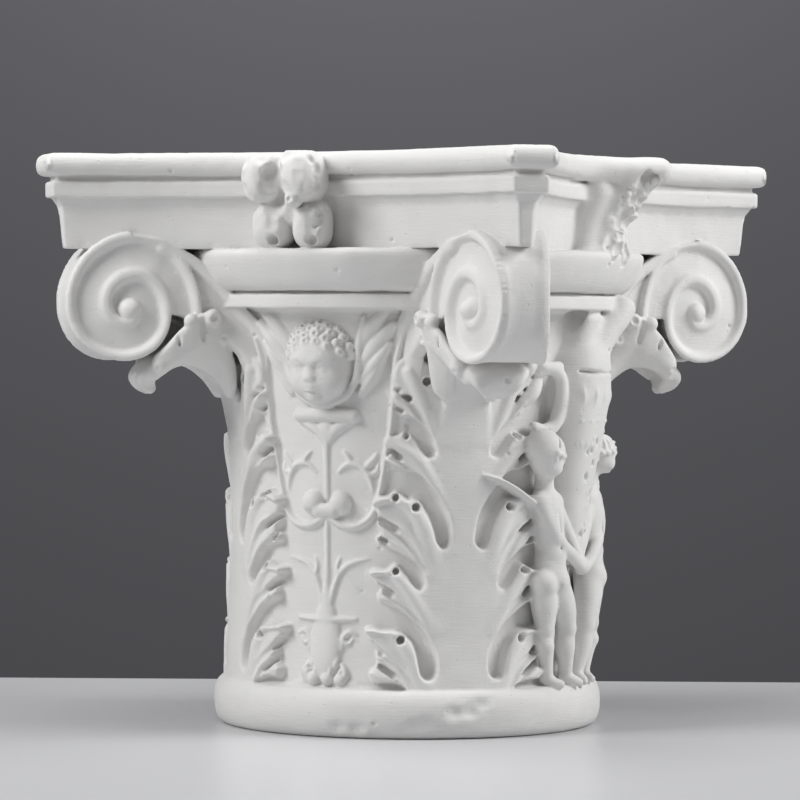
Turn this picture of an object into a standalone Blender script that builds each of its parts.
"""Carved Renaissance composite capital, cast in one piece of white plaster.

Metres, +Z up, origin at the middle of the underside.  The four corners lie on the
diagonals; the face with the cherub looks along -Y, the face with the two putti along +X.
"""
import math

import bmesh
import bpy
from mathutils import Vector

# Facets round every turned body
TURN_STEPS = 36

# Base ring, a half-round torus under the carving
RING_RADIUS = 0.140
RING_HEIGHT = 0.033
RING_FOOT_RADIUS = 0.131

# Lip fillet and the round cushion above it
LIP_BOTTOM = 0.297
LIP_HEIGHT = 0.010
LIP_RADIUS = 0.153
CUSHION_BOTTOM_RADIUS = 0.157
CUSHION_TOP_RADIUS = 0.170
CUSHION_GAP = 0.002
CUSHION_HEIGHT = 0.0295
CUSHION_TOP = LIP_BOTTOM + LIP_HEIGHT + CUSHION_GAP + CUSHION_HEIGHT

# Bell: radius of the plain ground at each height, its last row up inside the lip
BELL_PROFILE = ((0.020, 0.125), (0.033, 0.1235), (0.070, 0.1212), (0.115, 0.1205), (0.165, 0.1208),
                (0.210, 0.1225), (0.250, 0.1260), (0.280, 0.1305), (LIP_BOTTOM + 0.008, 0.1370))
CORE_RADIUS = 0.108

# Abacus: concave sides, cut corners
ABACUS_CORNER = 0.266
ABACUS_CUT_HALF = 0.0122
ABACUS_WAIST = 0.150
ABACUS_ARC_STEPS = 8
TORUS_HEIGHT = 0.016
TORUS_PROUD = 0.0065
STEP_HEIGHT = 0.004
STEP_SET_BACK = 0.0005
FILLET_HEIGHT = 0.011
FRIEZE_HEIGHT = 0.0355
FRIEZE_SET_BACK_TOP = 0.0040
FRIEZE_SET_BACK = 0.0100
HEIGHT = CUSHION_TOP + FRIEZE_HEIGHT + FILLET_HEIGHT + STEP_HEIGHT + TORUS_HEIGHT

# Corner volutes, hung from the underside of the abacus by their eye
VOLUTE_EYE_DROP = 0.0425
VOLUTE_EYE = (0.213, CUSHION_TOP - VOLUTE_EYE_DROP)
VOLUTE_RISE = 0.054
VOLUTE_TURN_LOSS = 0.025
VOLUTE_FLATTEN = 0.93
VOLUTE_NOSE = 0.257
VOLUTE_NOSE_HALF = 0.017
VOLUTE_SPLAY = 0.246
VOLUTE_RECESS = 0.0045
VOLUTE_RIM = 0.0042
VOLUTE_BALL = 0.0085
STEM_PLATE = 0.014

# Corner leaves
LEAF_REF = 0.1316
LEAF_LIFT = 0.0085

# Faces of the bell
PANEL_REF = 0.1232
FLEURON_HALF = 0.0185
FLEURON_PROUD = 0.009
PUTTO_HEIGHT = 0.169
PUTTO_SPREAD = 18.5

# Faceting of the carving
VOXEL = 0.0018
VOLUTE_FACES = 2500
CARVING_FACES = 5600
CAPITAL_FACES = 9850

FACES = {"cherub": 0.0, "putti": 90.0, "back": 180.0, "side": 270.0}
CORNERS = (45.0, 135.0, 225.0, 315.0)
PLASTER = (0.80, 0.79, 0.77, 1.0)


def clear_scene():
    """Empty the file before building."""
    for item in list(bpy.data.objects):
        bpy.data.objects.remove(item, do_unlink=True)


def collection(name):
    """A collection linked to the scene."""
    made = bpy.data.collections.new(name)
    bpy.context.scene.collection.children.link(made)
    return made


def interpolate(table, at):
    """Value of a two-column table at a position, straight between its rows."""
    if at <= table[0][0]:
        return table[0][1]
    for (x0, y0), (x1, y1) in zip(table, table[1:]):
        if at <= x1:
            return y0 + (y1 - y0) * (at - x0) / (x1 - x0)
    return table[-1][1]


def compass(azimuth, radius, height):
    """Point at an azimuth in degrees, counted from -Y towards +X."""
    turn = math.radians(azimuth)
    return Vector((radius * math.sin(turn), -radius * math.cos(turn), height))


def on_bell(azimuth, along, height, lift, reference):
    """Point above the ground of the bell, measured along it from a middle line."""
    turn = azimuth + math.degrees(along / reference)
    return compass(turn, interpolate(BELL_PROFILE, height) + lift, height)


def on_diagonal(corner, reach, across, height):
    """Point by its reach along a corner diagonal and its distance across it."""
    turn = math.radians(corner)
    out = Vector((math.sin(turn), -math.cos(turn), 0.0))
    side = Vector((math.cos(turn), math.sin(turn), 0.0))
    return out * reach + side * across + Vector((0.0, 0.0, height))


def spline(points, steps):
    """Smooth curve through points, each a tuple of numbers (Catmull-Rom)."""
    made = []
    padded = [points[0]] + list(points) + [points[-1]]
    for a, b, c, d in zip(padded, padded[1:], padded[2:], padded[3:]):
        for step in range(steps):
            u = step / steps
            weights = (-0.5 * u + u * u - 0.5 * u ** 3, 1 - 2.5 * u * u + 1.5 * u ** 3,
                       0.5 * u + 2 * u * u - 1.5 * u ** 3, -0.5 * u * u + 0.5 * u ** 3)
            made.append(tuple(sum(w * v for w, v in zip(weights, values)) for values in zip(a, b, c, d)))
    made.append(tuple(points[-1]))
    return made


class Carving:
    """Closed bodies gathered into one mesh, later fused into one skin."""

    def __init__(self):
        self.points = []
        self.faces = []
        self.balls = {}

    def add(self, points, faces):
        """Append one closed body."""
        first = len(self.points)
        self.points += points
        self.faces += [[first + index for index in face] for face in faces]

    def unit_ball(self, steps):
        """Points and faces of a ball of radius one, made once for each fineness."""
        if steps not in self.balls:
            bm = bmesh.new()
            bmesh.ops.create_uvsphere(bm, u_segments=steps + 4, v_segments=steps, radius=1.0)
            self.balls[steps] = ([vert.co.copy() for vert in bm.verts],
                                 [[vert.index for vert in face.verts] for face in bm.faces])
            bm.free()
        return self.balls[steps]

    def ball(self, centre, radius, squash=1.0, axis=None, steps=8):
        """A ball, flattened or drawn out along one axis."""
        points, faces = self.unit_ball(steps)
        if axis is None:
            self.add([centre + point * radius for point in points], faces)
        else:
            self.add([centre + (point + axis * ((squash - 1.0) * point.dot(axis))) * radius
                      for point in points], faces)

    def rod(self, points, radii, steps=2):
        """A round bar through points, its radius following along, with round ends."""
        rows = [tuple(point) + (radius,) for point, radius in zip(points, radii)]
        rows = spline(rows, 4) if len(rows) > 2 else rows
        curve = bpy.data.curves.new("rod", "CURVE")
        curve.dimensions = "3D"
        curve.bevel_depth = 1.0
        curve.bevel_resolution = steps
        curve.use_fill_caps = True
        path = curve.splines.new("POLY")
        path.points.add(len(rows) - 1)
        for point, row in zip(path.points, rows):
            point.co = (row[0], row[1], row[2], 1.0)
            point.radius = row[3]
        source = bpy.data.objects.new("rod", curve)
        mesh = bpy.data.meshes.new_from_object(source)
        self.add([vert.co.copy() for vert in mesh.vertices], [list(face.vertices) for face in mesh.polygons])
        bpy.data.objects.remove(source, do_unlink=True)
        bpy.data.curves.remove(curve)
        bpy.data.meshes.remove(mesh)
        for row in (rows[0], rows[-1]):
            self.ball(Vector(row[:3]), row[3] * 0.98, steps=6)

    def loft(self, rings):
        """Skin through rings of equal length, closed by a face at each end."""
        count = len(rings[0])
        faces = [list(range(count))[::-1], [count * (len(rings) - 1) + i for i in range(count)]]
        for row in range(len(rings) - 1):
            for i in range(count):
                j = (i + 1) % count
                low, high = count * row, count * (row + 1)
                faces.append([low + i, low + j, high + j, high + i])
        self.add([Vector(point) for ring in rings for point in ring], faces)

    def finish(self, name, home):
        """Object that holds the gathered bodies, each facing outwards."""
        mesh = bpy.data.meshes.new(name)
        mesh.from_pydata(self.points, [], self.faces)
        bm = bmesh.new()
        bm.from_mesh(mesh)
        bmesh.ops.remove_doubles(bm, verts=bm.verts, dist=1e-7)
        bmesh.ops.recalc_face_normals(bm, faces=bm.faces)
        bm.to_mesh(mesh)
        bm.free()
        made = bpy.data.objects.new(name, mesh)
        home.objects.link(made)
        made.hide_render = True
        made.display_type = "WIRE"
        return made


def turned_rings(profile, steps):
    """Rings of a turned body for a loft, from radius and height pairs."""
    return [[compass(360.0 * i / steps, radius, height) for i in range(steps)] for radius, height in profile]


def add_bell(carving):
    """Plain ground of the bell."""
    profile = [(radius, height) for height, radius in BELL_PROFILE]
    carving.loft(turned_rings(profile, 96))


def spiral(turns, steps):
    """Points of the volute spiral, from its top outwards: reach, height, share of the rise left."""
    made = []
    for step in range(steps + 1):
        turn = turns * step / steps
        rise = VOLUTE_RISE - VOLUTE_TURN_LOSS * turn
        angle = 2 * math.pi * turn
        shrink = VOLUTE_FLATTEN if math.cos(angle) > -0.5 else 0.85
        made.append((VOLUTE_EYE[0] + rise * shrink * math.sin(angle),
                     VOLUTE_EYE[1] + rise * (math.cos(angle) if math.cos(angle) > 0 else 0.86 * math.cos(angle)),
                     rise / VOLUTE_RISE))
    return made


def face_half(reach):
    """Half width between the two side faces of a volute at a reach."""
    return VOLUTE_NOSE_HALF + VOLUTE_SPLAY * (VOLUTE_NOSE - reach)


def beside_eye(rows):
    """Points of a stem from their reach and their height above the eye."""
    return [(reach, VOLUTE_EYE[1] + above) for reach, above in rows]


STEM_ROOT = beside_eye(((0.112, 0.006), (0.112, -0.041)))
STEM_UPPER = beside_eye(((0.118, -0.038), (0.122, -0.015), (0.140, 0.006), (0.152, 0.022), (0.166, 0.035),
                         (0.190, 0.048)))
STEM_LOWER = beside_eye(((0.176, -0.006), (0.155, -0.015), (0.141, -0.032), (0.134, -0.048)))


def add_volute(carving, corner):
    """Scroll drum, its two stems, the raised rim and the eye at one corner."""
    drum = [(reach, height) for reach, height, _ in spiral(0.98, 36)]
    halves = [face_half(reach) - VOLUTE_RECESS for reach, _ in drum]
    carving.loft([[on_diagonal(corner, r, side * h, z) for (r, z), h in zip(drum, halves)] for side in (-1, 1)])
    crown = spiral(0.25, 6)[0]
    plate = [crown[:2]] + STEM_UPPER[:1:-1] + STEM_ROOT + STEM_LOWER[::-1]
    plate += [VOLUTE_EYE]
    for side in (-1, 1):
        outer = [on_diagonal(corner, r, side * (face_half(r) - VOLUTE_RECESS), z) for r, z in plate]
        inner = [on_diagonal(corner, r, side * (face_half(r) - VOLUTE_RECESS - STEM_PLATE), z) for r, z in plate]
        carving.loft([outer, inner])
        path, radii = [], []
        for r, z in STEM_UPPER:
            path.append(on_diagonal(corner, r, side * (face_half(r) - VOLUTE_RECESS), z))
            radii.append(VOLUTE_RIM)
        for r, z, share in spiral(1.7, 30):
            r_in = VOLUTE_EYE[0] + (r - VOLUTE_EYE[0]) * 0.92
            z_in = VOLUTE_EYE[1] + (z - VOLUTE_EYE[1]) * 0.92
            path.append(on_diagonal(corner, r_in, side * (face_half(r_in) - VOLUTE_RECESS), z_in))
            radii.append(VOLUTE_RIM * (0.7 + 0.3 * share))
        carving.rod(path, radii)
        eye = on_diagonal(corner, VOLUTE_EYE[0], side * (face_half(VOLUTE_EYE[0]) - 0.002), VOLUTE_EYE[1])
        carving.ball(eye, VOLUTE_BALL)


# Middle line of the leaf above the bell: reach, height, half width, thickness
LEAF_LINE = ((0.1315, 0.025, 0.027, 0.009), (0.1300, 0.070, 0.026, 0.009), (0.1295, 0.120, 0.023, 0.009),
             (0.1300, 0.170, 0.023, 0.009), (0.1325, 0.215, 0.028, 0.009), (0.1380, 0.240, 0.030, 0.009),
             (0.1480, 0.255, 0.029, 0.009), (0.1620, 0.2625, 0.027, 0.009), (0.1770, 0.2625, 0.025, 0.009),
             (0.1910, 0.2580, 0.022, 0.010), (0.2010, 0.2500, 0.018, 0.011), (0.2020, 0.2430, 0.012, 0.009))
# Side lobes on each flank, bottom to top: root along and height, tip along and height
LEAF_LOBES = ((0.020, 0.030, 0.064, 0.068), (0.018, 0.068, 0.062, 0.108), (0.016, 0.106, 0.058, 0.158),
              (0.016, 0.158, 0.052, 0.201), (0.018, 0.206, 0.046, 0.246))
LOBE_RADIUS = 0.0100
LOBE_SINK = 0.0035


def add_leaf(carving, corner):
    """Acanthus leaf that climbs a corner and curls out under the volute."""
    rows = spline(LEAF_LINE, 3)
    rings = []
    for row, (reach, height, half, thick) in enumerate(rows):
        ahead, behind = rows[min(row + 1, len(rows) - 1)], rows[max(row - 1, 0)]
        along = Vector((ahead[0] - behind[0], ahead[1] - behind[1])).normalized()
        out = Vector((along.y, -along.x))
        ring = []
        for side, spans in ((1, range(-4, 5)), (-1, range(4, -5, -1))):
            for step in spans:
                across = half * step / 4.0
                bend = 1.0 - math.cos(across / LEAF_REF)
                lift = side * thick * 0.5 * (1.0 - 0.5 * abs(step / 4.0) ** 3)
                ring.append(on_diagonal(corner, reach + out.x * lift - LEAF_REF * bend, across,
                                        height + out.y * lift))
        rings.append(ring)
    carving.loft(rings)
    for side in (-1, 1):
        for root_along, root_height, tip_along, tip_height in LEAF_LOBES:
            middle = (root_along + 0.58 * (tip_along - root_along), root_height + 0.66 * (tip_height - root_height))
            carving.rod([on_bell(corner, side * root_along, root_height, 0.0, LEAF_REF),
                         on_bell(corner, side * middle[0], middle[1], LEAF_LIFT - LOBE_RADIUS, LEAF_REF),
                         on_bell(corner, side * tip_along, tip_height, LEAF_LIFT - LOBE_SINK, LEAF_REF)],
                        [0.0085, LOBE_RADIUS, 0.0034])
        knob = on_diagonal(corner, 0.160, side * 0.030, 0.274)
        carving.rod([on_diagonal(corner, 0.160, side * 0.020, 0.262), knob], [0.0050, 0.0062])
        for across, reach, height, radius in ((0.024, 0.176, 0.262, 0.008), (0.018, 0.194, 0.250, 0.009)):
            carving.ball(on_diagonal(corner, reach, side * across, height), radius, steps=8)
    carving.ball(on_diagonal(corner, 0.198, 0.0, 0.246), 0.0095)


def add_panel_edges(carving, face):
    """Ridges down both edges of a face that meet in a clasp at its middle."""
    line = ((0.052, 0.268), (0.049, 0.240), (0.046, 0.210), (0.042, 0.185), (0.037, 0.163), (0.030, 0.150),
            (0.018, 0.145), (0.008, 0.148), (0.0, 0.153))
    for side in (-1, 1):
        points = [on_bell(face, side * along, height, 0.0005, PANEL_REF) for along, height in line]
        carving.rod(points, [0.0032] * 4 + [0.0026] * 5)


def add_candelabrum(carving, face, plain):
    """Cherub head with wings over a slender candelabrum of cups and scrolls, or a plainer one."""
    def at(along, height, lift=0.0):
        return on_bell(face, along, height, lift, PANEL_REF)

    out = compass(face, 1.0, 0.0)
    carving.ball(at(0.0, 0.261, 0.002), 0.0255, squash=0.80, axis=out, steps=14)
    carving.ball(at(0.0, 0.247, 0.006), 0.0165, squash=0.9, axis=out)
    for side in (-1, 1):
        carving.ball(at(side * 0.011, 0.247, 0.014), 0.0075)
        carving.rod([at(side * 0.006, 0.263, 0.0185), at(side * 0.016, 0.262, 0.016)], [0.0030, 0.0022])
        carving.rod([at(side * 0.003, 0.230, 0.004), at(side * 0.017, 0.235, 0.006),
                     at(side * 0.026, 0.252, 0.006), at(side * 0.030, 0.278, 0.005)], [0.003, 0.003, 0.0025, 0.002])
        for feather, (along, height) in enumerate(((0.052, 0.290), (0.048, 0.277), (0.043, 0.264))):
            carving.rod([at(side * 0.026, 0.252 + 0.006 * feather, 0.002),
                         at(side * 0.036, height - 0.012, 0.006), at(side * along, height, 0.004)],
                        [0.004, 0.0055, 0.0035])
    carving.rod([at(0.0, 0.258, 0.022), at(0.0, 0.251, 0.0245)], [0.0028, 0.0038])
    carving.rod([at(-0.005, 0.2425, 0.0215), at(0.005, 0.2425, 0.0215)], [0.0026, 0.0026])
    for curl in range(-4, 5):
        carving.ball(at(0.0062 * curl, 0.286 - 0.0006 * curl * curl, 0.010), 0.0060, steps=6)
    carving.rod([at(-0.022, 0.223, 0.002), at(0.0, 0.223, 0.003), at(0.022, 0.223, 0.002)], [0.0048] * 3)
    carving.rod([at(0.0, 0.219, 0.001), at(0.0, 0.208, 0.001), at(0.0, 0.170, 0.001)], [0.0075, 0.0035, 0.0026])
    carving.rod([at(0.0, 0.152, 0.001), at(0.0, 0.110, 0.001), at(0.0, 0.088, 0.001), at(0.0, 0.083, 0.001)],
                [0.0026, 0.0030, 0.0060, 0.0090])
    carving.rod([at(-0.009, 0.155, 0.004), at(0.009, 0.155, 0.004)], [0.0040, 0.0040])
    carving.rod([at(-0.022, 0.081, 0.002), at(0.022, 0.081, 0.002)], [0.0030, 0.0030])
    carving.ball(at(0.0, 0.061, -0.003), 0.0165, steps=12)
    if plain:
        return
    for side in (-1, 1):
        carving.ball(at(side * 0.011, 0.163, 0.003), 0.0078)
        carving.rod([at(side * 0.010, 0.184, 0.001), at(side * 0.020, 0.190, 0.002),
                     at(side * 0.031, 0.182, 0.002), at(side * 0.034, 0.170, 0.001)], [0.002, 0.003, 0.003, 0.002])
        carving.rod([at(side * 0.026, 0.187, 0.001), at(side * 0.036, 0.194, 0.001)], [0.0026, 0.0020])
        carving.rod([at(side * 0.002, 0.094, 0.001), at(side * 0.009, 0.113, 0.002),
                     at(side * 0.018, 0.121, 0.002), at(side * 0.031, 0.124, 0.001)], [0.003, 0.003, 0.0025, 0.002])
        carving.rod([at(side * 0.022, 0.072, 0.001), at(side * 0.014, 0.068, 0.002),
                     at(side * 0.013, 0.048, 0.001)], [0.0022, 0.0028, 0.0022])
        carving.rod([at(side * 0.009, 0.040, 0.001), at(side * 0.022, 0.037, 0.001)], [0.0045, 0.0032])
    carving.ball(at(0.0, 0.040, 0.002), 0.0048)


# Putto seen from the front: lengths along and height as shares of the figure's height
def add_putto(carving, face, side):
    """Nude winged child in high relief, turned towards the middle of its face."""
    centre = side * math.radians(PUTTO_SPREAD) * LEAF_REF

    def at(along, height, lift):
        return on_bell(face, centre + side * along, RING_HEIGHT + PUTTO_HEIGHT * height, lift, LEAF_REF)

    carving.ball(at(0.001, 0.925, 0.012), 0.0125, steps=12)
    carving.ball(at(-0.004, 0.900, 0.020), 0.0060)
    carving.rod([at(0.0, 0.87, 0.009), at(0.0, 0.80, 0.009)], [0.0062, 0.0075])
    carving.rod([at(0.001, 0.79, 0.008), at(0.001, 0.68, 0.010), at(0.0, 0.58, 0.010), at(0.002, 0.47, 0.009)],
                [0.0115, 0.0120, 0.0115, 0.0130])
    carving.rod([at(0.009, 0.77, 0.008), at(0.014, 0.66, 0.008), at(0.013, 0.56, 0.012)], [0.0055, 0.0050, 0.0042])
    carving.rod([at(-0.009, 0.77, 0.012), at(-0.022, 0.64, 0.016), at(-0.041, 0.51, 0.016)],
                [0.0055, 0.0052, 0.0042])
    carving.ball(at(-0.043, 0.50, 0.016), 0.0052)
    carving.rod([at(0.006, 0.45, 0.009), at(0.008, 0.27, 0.009), at(0.008, 0.06, 0.007)],
                [0.0105, 0.0075, 0.0048])
    carving.rod([at(-0.006, 0.45, 0.010), at(-0.012, 0.27, 0.013), at(-0.010, 0.06, 0.008)],
                [0.0105, 0.0075, 0.0048])
    for foot in (0.010, -0.012):
        carving.rod([at(foot, 0.035, 0.007), at(foot - 0.002, 0.020, 0.015)], [0.0050, 0.0042])
    carving.rod([at(0.006, 0.76, 0.004), at(0.028, 0.83, 0.007), at(0.047, 0.885, 0.009)],
                [0.0045, 0.0055, 0.0025])
    carving.rod([at(0.010, 0.72, 0.002), at(0.028, 0.77, 0.004)], [0.0045, 0.0030])


def add_putti_face(carving, face):
    """Pair of putti hand in hand beside a baluster, horned bracket above."""
    def at(along, height, lift=0.0):
        return on_bell(face, along, height, lift, PANEL_REF)

    for side in (-1, 1):
        add_putto(carving, face, side)
        carving.rod([at(side * 0.004, 0.258, 0.002), at(side * 0.014, 0.272, 0.004),
                     at(side * 0.018, 0.292, 0.006)], [0.0055, 0.0045, 0.0030])
        carving.rod([at(side * 0.044, 0.214, 0.001), at(side * 0.024, 0.232, 0.002),
                     at(side * 0.010, 0.252, 0.002)], [0.003, 0.004, 0.004])
    carving.rod([at(0.0, 0.034, 0.001), at(0.0, 0.045, 0.003), at(0.0, 0.060, 0.003), at(0.0, 0.080, 0.003),
                 at(0.0, 0.100, 0.001)], [0.0100, 0.0060, 0.0115, 0.0060, 0.0050])
    carving.rod([at(0.0, 0.165, 0.001), at(0.0, 0.200, 0.003), at(0.0, 0.225, 0.003), at(0.0, 0.255, 0.002)],
                [0.0030, 0.0080, 0.0065, 0.0090])


def abacus_outline(set_back):
    """Concave-sided square with cut corners, drawn in from the fillet by a set-back."""
    corner = ABACUS_CORNER - set_back
    root = math.sqrt(0.5)
    chord = (ABACUS_CORNER - ABACUS_CUT_HALF) * root
    shoulder = (ABACUS_CORNER + ABACUS_CUT_HALF) * root
    sag = shoulder - ABACUS_WAIST
    bow = (chord * chord + sag * sag) / (2 * sag)
    radius = bow + set_back
    centre = ABACUS_WAIST + bow
    # the arc meets the cut face where x + y = corner * sqrt(2)
    total = corner * math.sqrt(2.0) - centre
    end = (total + math.sqrt(max(0.0, 2 * radius * radius - total * total))) / 2
    half_angle = math.asin(min(1.0, end / radius))
    points = []
    for quarter in range(4):
        turn = math.radians(90.0 * quarter)
        for step in range(ABACUS_ARC_STEPS + 1):
            angle = -half_angle + 2 * half_angle * step / ABACUS_ARC_STEPS
            x, y = radius * math.sin(angle), -(centre - radius * math.cos(angle))
            points.append((x * math.cos(turn) - y * math.sin(turn), x * math.sin(turn) + y * math.cos(turn)))
    return points


def build_abacus(home):
    """Moulded slab: sloping frieze, fillet, step and half-round torus."""
    levels = [(CUSHION_TOP - 0.002, FRIEZE_SET_BACK)]
    fillet_top = HEIGHT - TORUS_HEIGHT - STEP_HEIGHT
    fillet_bottom = fillet_top - FILLET_HEIGHT
    levels += [(CUSHION_TOP + 0.006, FRIEZE_SET_BACK), (fillet_bottom - 0.008, FRIEZE_SET_BACK_TOP + 0.0035),
               (fillet_bottom - 0.002, FRIEZE_SET_BACK_TOP + 0.0012), (fillet_bottom, FRIEZE_SET_BACK_TOP),
               (fillet_bottom, 0.0), (fillet_top, STEP_SET_BACK), (fillet_top, 0.0030),
               (HEIGHT - TORUS_HEIGHT, 0.0030), (HEIGHT - TORUS_HEIGHT, -0.0020)]
    for step in range(1, 4):
        angle = math.pi * step / 4 - math.pi / 2
        levels.append((HEIGHT - TORUS_HEIGHT / 2 + TORUS_HEIGHT / 2 * math.sin(angle),
                       -0.0020 - (TORUS_PROUD - 0.0020) * math.cos(angle)))
    levels.append((HEIGHT, -0.0020))
    bm = bmesh.new()
    rings = [[bm.verts.new((x, y, height)) for x, y in abacus_outline(inset)] for height, inset in levels]
    count = len(rings[0])
    for low, high in zip(rings, rings[1:]):
        for i in range(count):
            j = (i + 1) % count
            bm.faces.new((low[i], low[j], high[j], high[i]))
    bm.faces.new(list(reversed(rings[0])))
    bm.faces.new(rings[-1])
    bmesh.ops.recalc_face_normals(bm, faces=bm.faces)
    mesh = bpy.data.meshes.new("abacus")
    bm.to_mesh(mesh)
    bm.free()
    made = bpy.data.objects.new("abacus", mesh)
    home.objects.link(made)
    made.hide_render = True
    made.display_type = "WIRE"
    return made


def add_fleuron(carving, face):
    """Four ribbed petals round a button, in the middle of an abacus side."""
    out = compass(face, 1.0, 0.0)
    middle = (CUSHION_TOP + HEIGHT) / 2
    for side in (-1, 1):
        for rise in (-1, 1):
            centre = compass(face, ABACUS_WAIST + FLEURON_PROUD, middle + rise * FLEURON_HALF * 0.76)
            centre = centre + compass(face + 90.0, 1.0, 0.0) * side * FLEURON_HALF
            carving.ball(centre, FLEURON_HALF * 0.96, squash=1.0, axis=out, steps=12)
    carving.rod([compass(face, ABACUS_WAIST - FLEURON_PROUD, middle),
                 compass(face, ABACUS_WAIST + FLEURON_PROUD + FLEURON_HALF * 0.9, middle)], [0.012, 0.0062])
    carving.rod([compass(face, ABACUS_WAIST - FLEURON_HALF, middle), compass(face, ABACUS_WAIST, middle)],
                [FLEURON_HALF * 1.3, FLEURON_HALF * 1.3])


def add_broken_fleuron(carving, face):
    """Stub of a fleuron: a flare at the top and a ragged broken ground below."""
    side = compass(face + 90.0, 1.0, 0.0)
    carving.rod([compass(face, ABACUS_WAIST - 0.010, CUSHION_TOP + 0.0065) + side * 0.002,
                 compass(face, ABACUS_WAIST - 0.002, (CUSHION_TOP + HEIGHT) / 2 - 0.007) + side * 0.001,
                 compass(face, ABACUS_WAIST + 0.010, HEIGHT - 0.023)], [0.017, 0.018, 0.018])
    carving.rod([compass(face, ABACUS_WAIST, HEIGHT - 0.014) - side * 0.026,
                 compass(face, ABACUS_WAIST + 0.026, HEIGHT - 0.011) + side * 0.010,
                 compass(face, ABACUS_WAIST + 0.036, HEIGHT - 0.010) + side * 0.026], [0.0080, 0.0085, 0.0065])


def build_core(home):
    """Turned body: base ring, inner drum, lip and round cushion, up into the abacus."""
    profile = [(0.0, HEIGHT - 0.030), (0.120, HEIGHT - 0.030), (0.120, CUSHION_TOP)]
    for step in range(1, 6):
        angle = math.pi * step / 6
        height = CUSHION_TOP - CUSHION_HEIGHT * (1 - math.cos(angle)) / 2
        share = (1 - math.cos(angle)) / 2
        base = CUSHION_TOP_RADIUS - (CUSHION_TOP_RADIUS - CUSHION_BOTTOM_RADIUS) * share ** 1.6
        profile.append((base - 0.010 * (1 - math.sin(angle)) ** 2, height))
    profile += [(LIP_RADIUS - 0.003, LIP_BOTTOM + LIP_HEIGHT + CUSHION_GAP), (LIP_RADIUS, LIP_BOTTOM + LIP_HEIGHT),
                (LIP_RADIUS, LIP_BOTTOM), (CORE_RADIUS, LIP_BOTTOM - 0.001), (CORE_RADIUS, RING_HEIGHT - 0.001),
                (RING_RADIUS - 0.012, RING_HEIGHT)]
    for step in range(1, 6):
        angle = math.pi / 2 - math.pi * step / 6
        profile.append((RING_FOOT_RADIUS + (RING_RADIUS - RING_FOOT_RADIUS) * math.cos(angle),
                        RING_HEIGHT * (1 + math.sin(angle)) / 2))
    profile += [(RING_FOOT_RADIUS - 0.001, 0.0), (0.0, 0.0)]
    mesh = bpy.data.meshes.new("capital")
    mesh.from_pydata([(radius, 0.0, height) for radius, height in profile],
                     [(i, i + 1) for i in range(len(profile) - 1)], [])
    made = bpy.data.objects.new("capital", mesh)
    home.objects.link(made)
    screw = made.modifiers.new("turn", "SCREW")
    screw.axis = "Z"
    screw.steps = TURN_STEPS
    screw.render_steps = TURN_STEPS
    screw.use_merge_vertices = True
    screw.merge_threshold = 0.0001
    screw.use_normal_calculate = True
    return made


def plaster():
    """Matt white plaster."""
    made = bpy.data.materials.new("white plaster")
    made.use_nodes = True
    shader = made.node_tree.nodes["Principled BSDF"]
    shader.inputs["Base Color"].default_value = PLASTER
    shader.inputs["Roughness"].default_value = 0.75
    shader.inputs["Metallic"].default_value = 0.0
    return made


def fuse(made):
    """Fuse the overlapping bodies of an object into one skin."""
    skin = made.modifiers.new("fuse", "REMESH")
    skin.mode = "VOXEL"
    skin.voxel_size = VOXEL


def reduce_facets(made, facets):
    """Reduce an object to a number of facets, its flattest places first."""
    bpy.context.view_layer.update()
    share = facet_share(made, facets)
    fewer = made.modifiers.new("facets", "DECIMATE")
    fewer.decimate_type = "COLLAPSE"
    fewer.ratio = share


def facet_share(source, facets):
    """Share of its facets that an object keeps to end with a wanted number."""
    depsgraph = bpy.context.evaluated_depsgraph_get()
    mesh = bpy.data.meshes.new_from_object(source.evaluated_get(depsgraph))
    mesh.calc_loop_triangles()
    count = len(mesh.loop_triangles)
    bpy.data.meshes.remove(mesh)
    return min(1.0, facets / count)


def main():
    """Build the capital."""
    clear_scene()
    parts = collection("composite capital")
    tools = collection("cutters")
    scrolls = Carving()
    carving = Carving()
    add_bell(carving)
    for corner in CORNERS:
        add_volute(scrolls, corner)
        add_leaf(carving, corner)
    for name, face in FACES.items():
        if name == "putti":
            add_putti_face(carving, face)
            add_broken_fleuron(carving, face)
        else:
            add_panel_edges(carving, face)
            add_candelabrum(carving, face, plain=name != "cherub")
            add_fleuron(carving, face)
    volutes = scrolls.finish("volutes", tools)
    relief = carving.finish("carving", tools)
    for made, facets in ((volutes, VOLUTE_FACES), (relief, CARVING_FACES)):
        fuse(made)
        reduce_facets(made, facets)
    abacus = build_abacus(tools)
    capital = build_core(parts)
    capital.data.materials.append(plaster())
    for other in (abacus, relief, volutes):
        join = capital.modifiers.new("join " + other.name, "BOOLEAN")
        join.operation = "UNION"
        join.solver = "EXACT"
        join.object = other
    reduce_facets(capital, CAPITAL_FACES)


main()
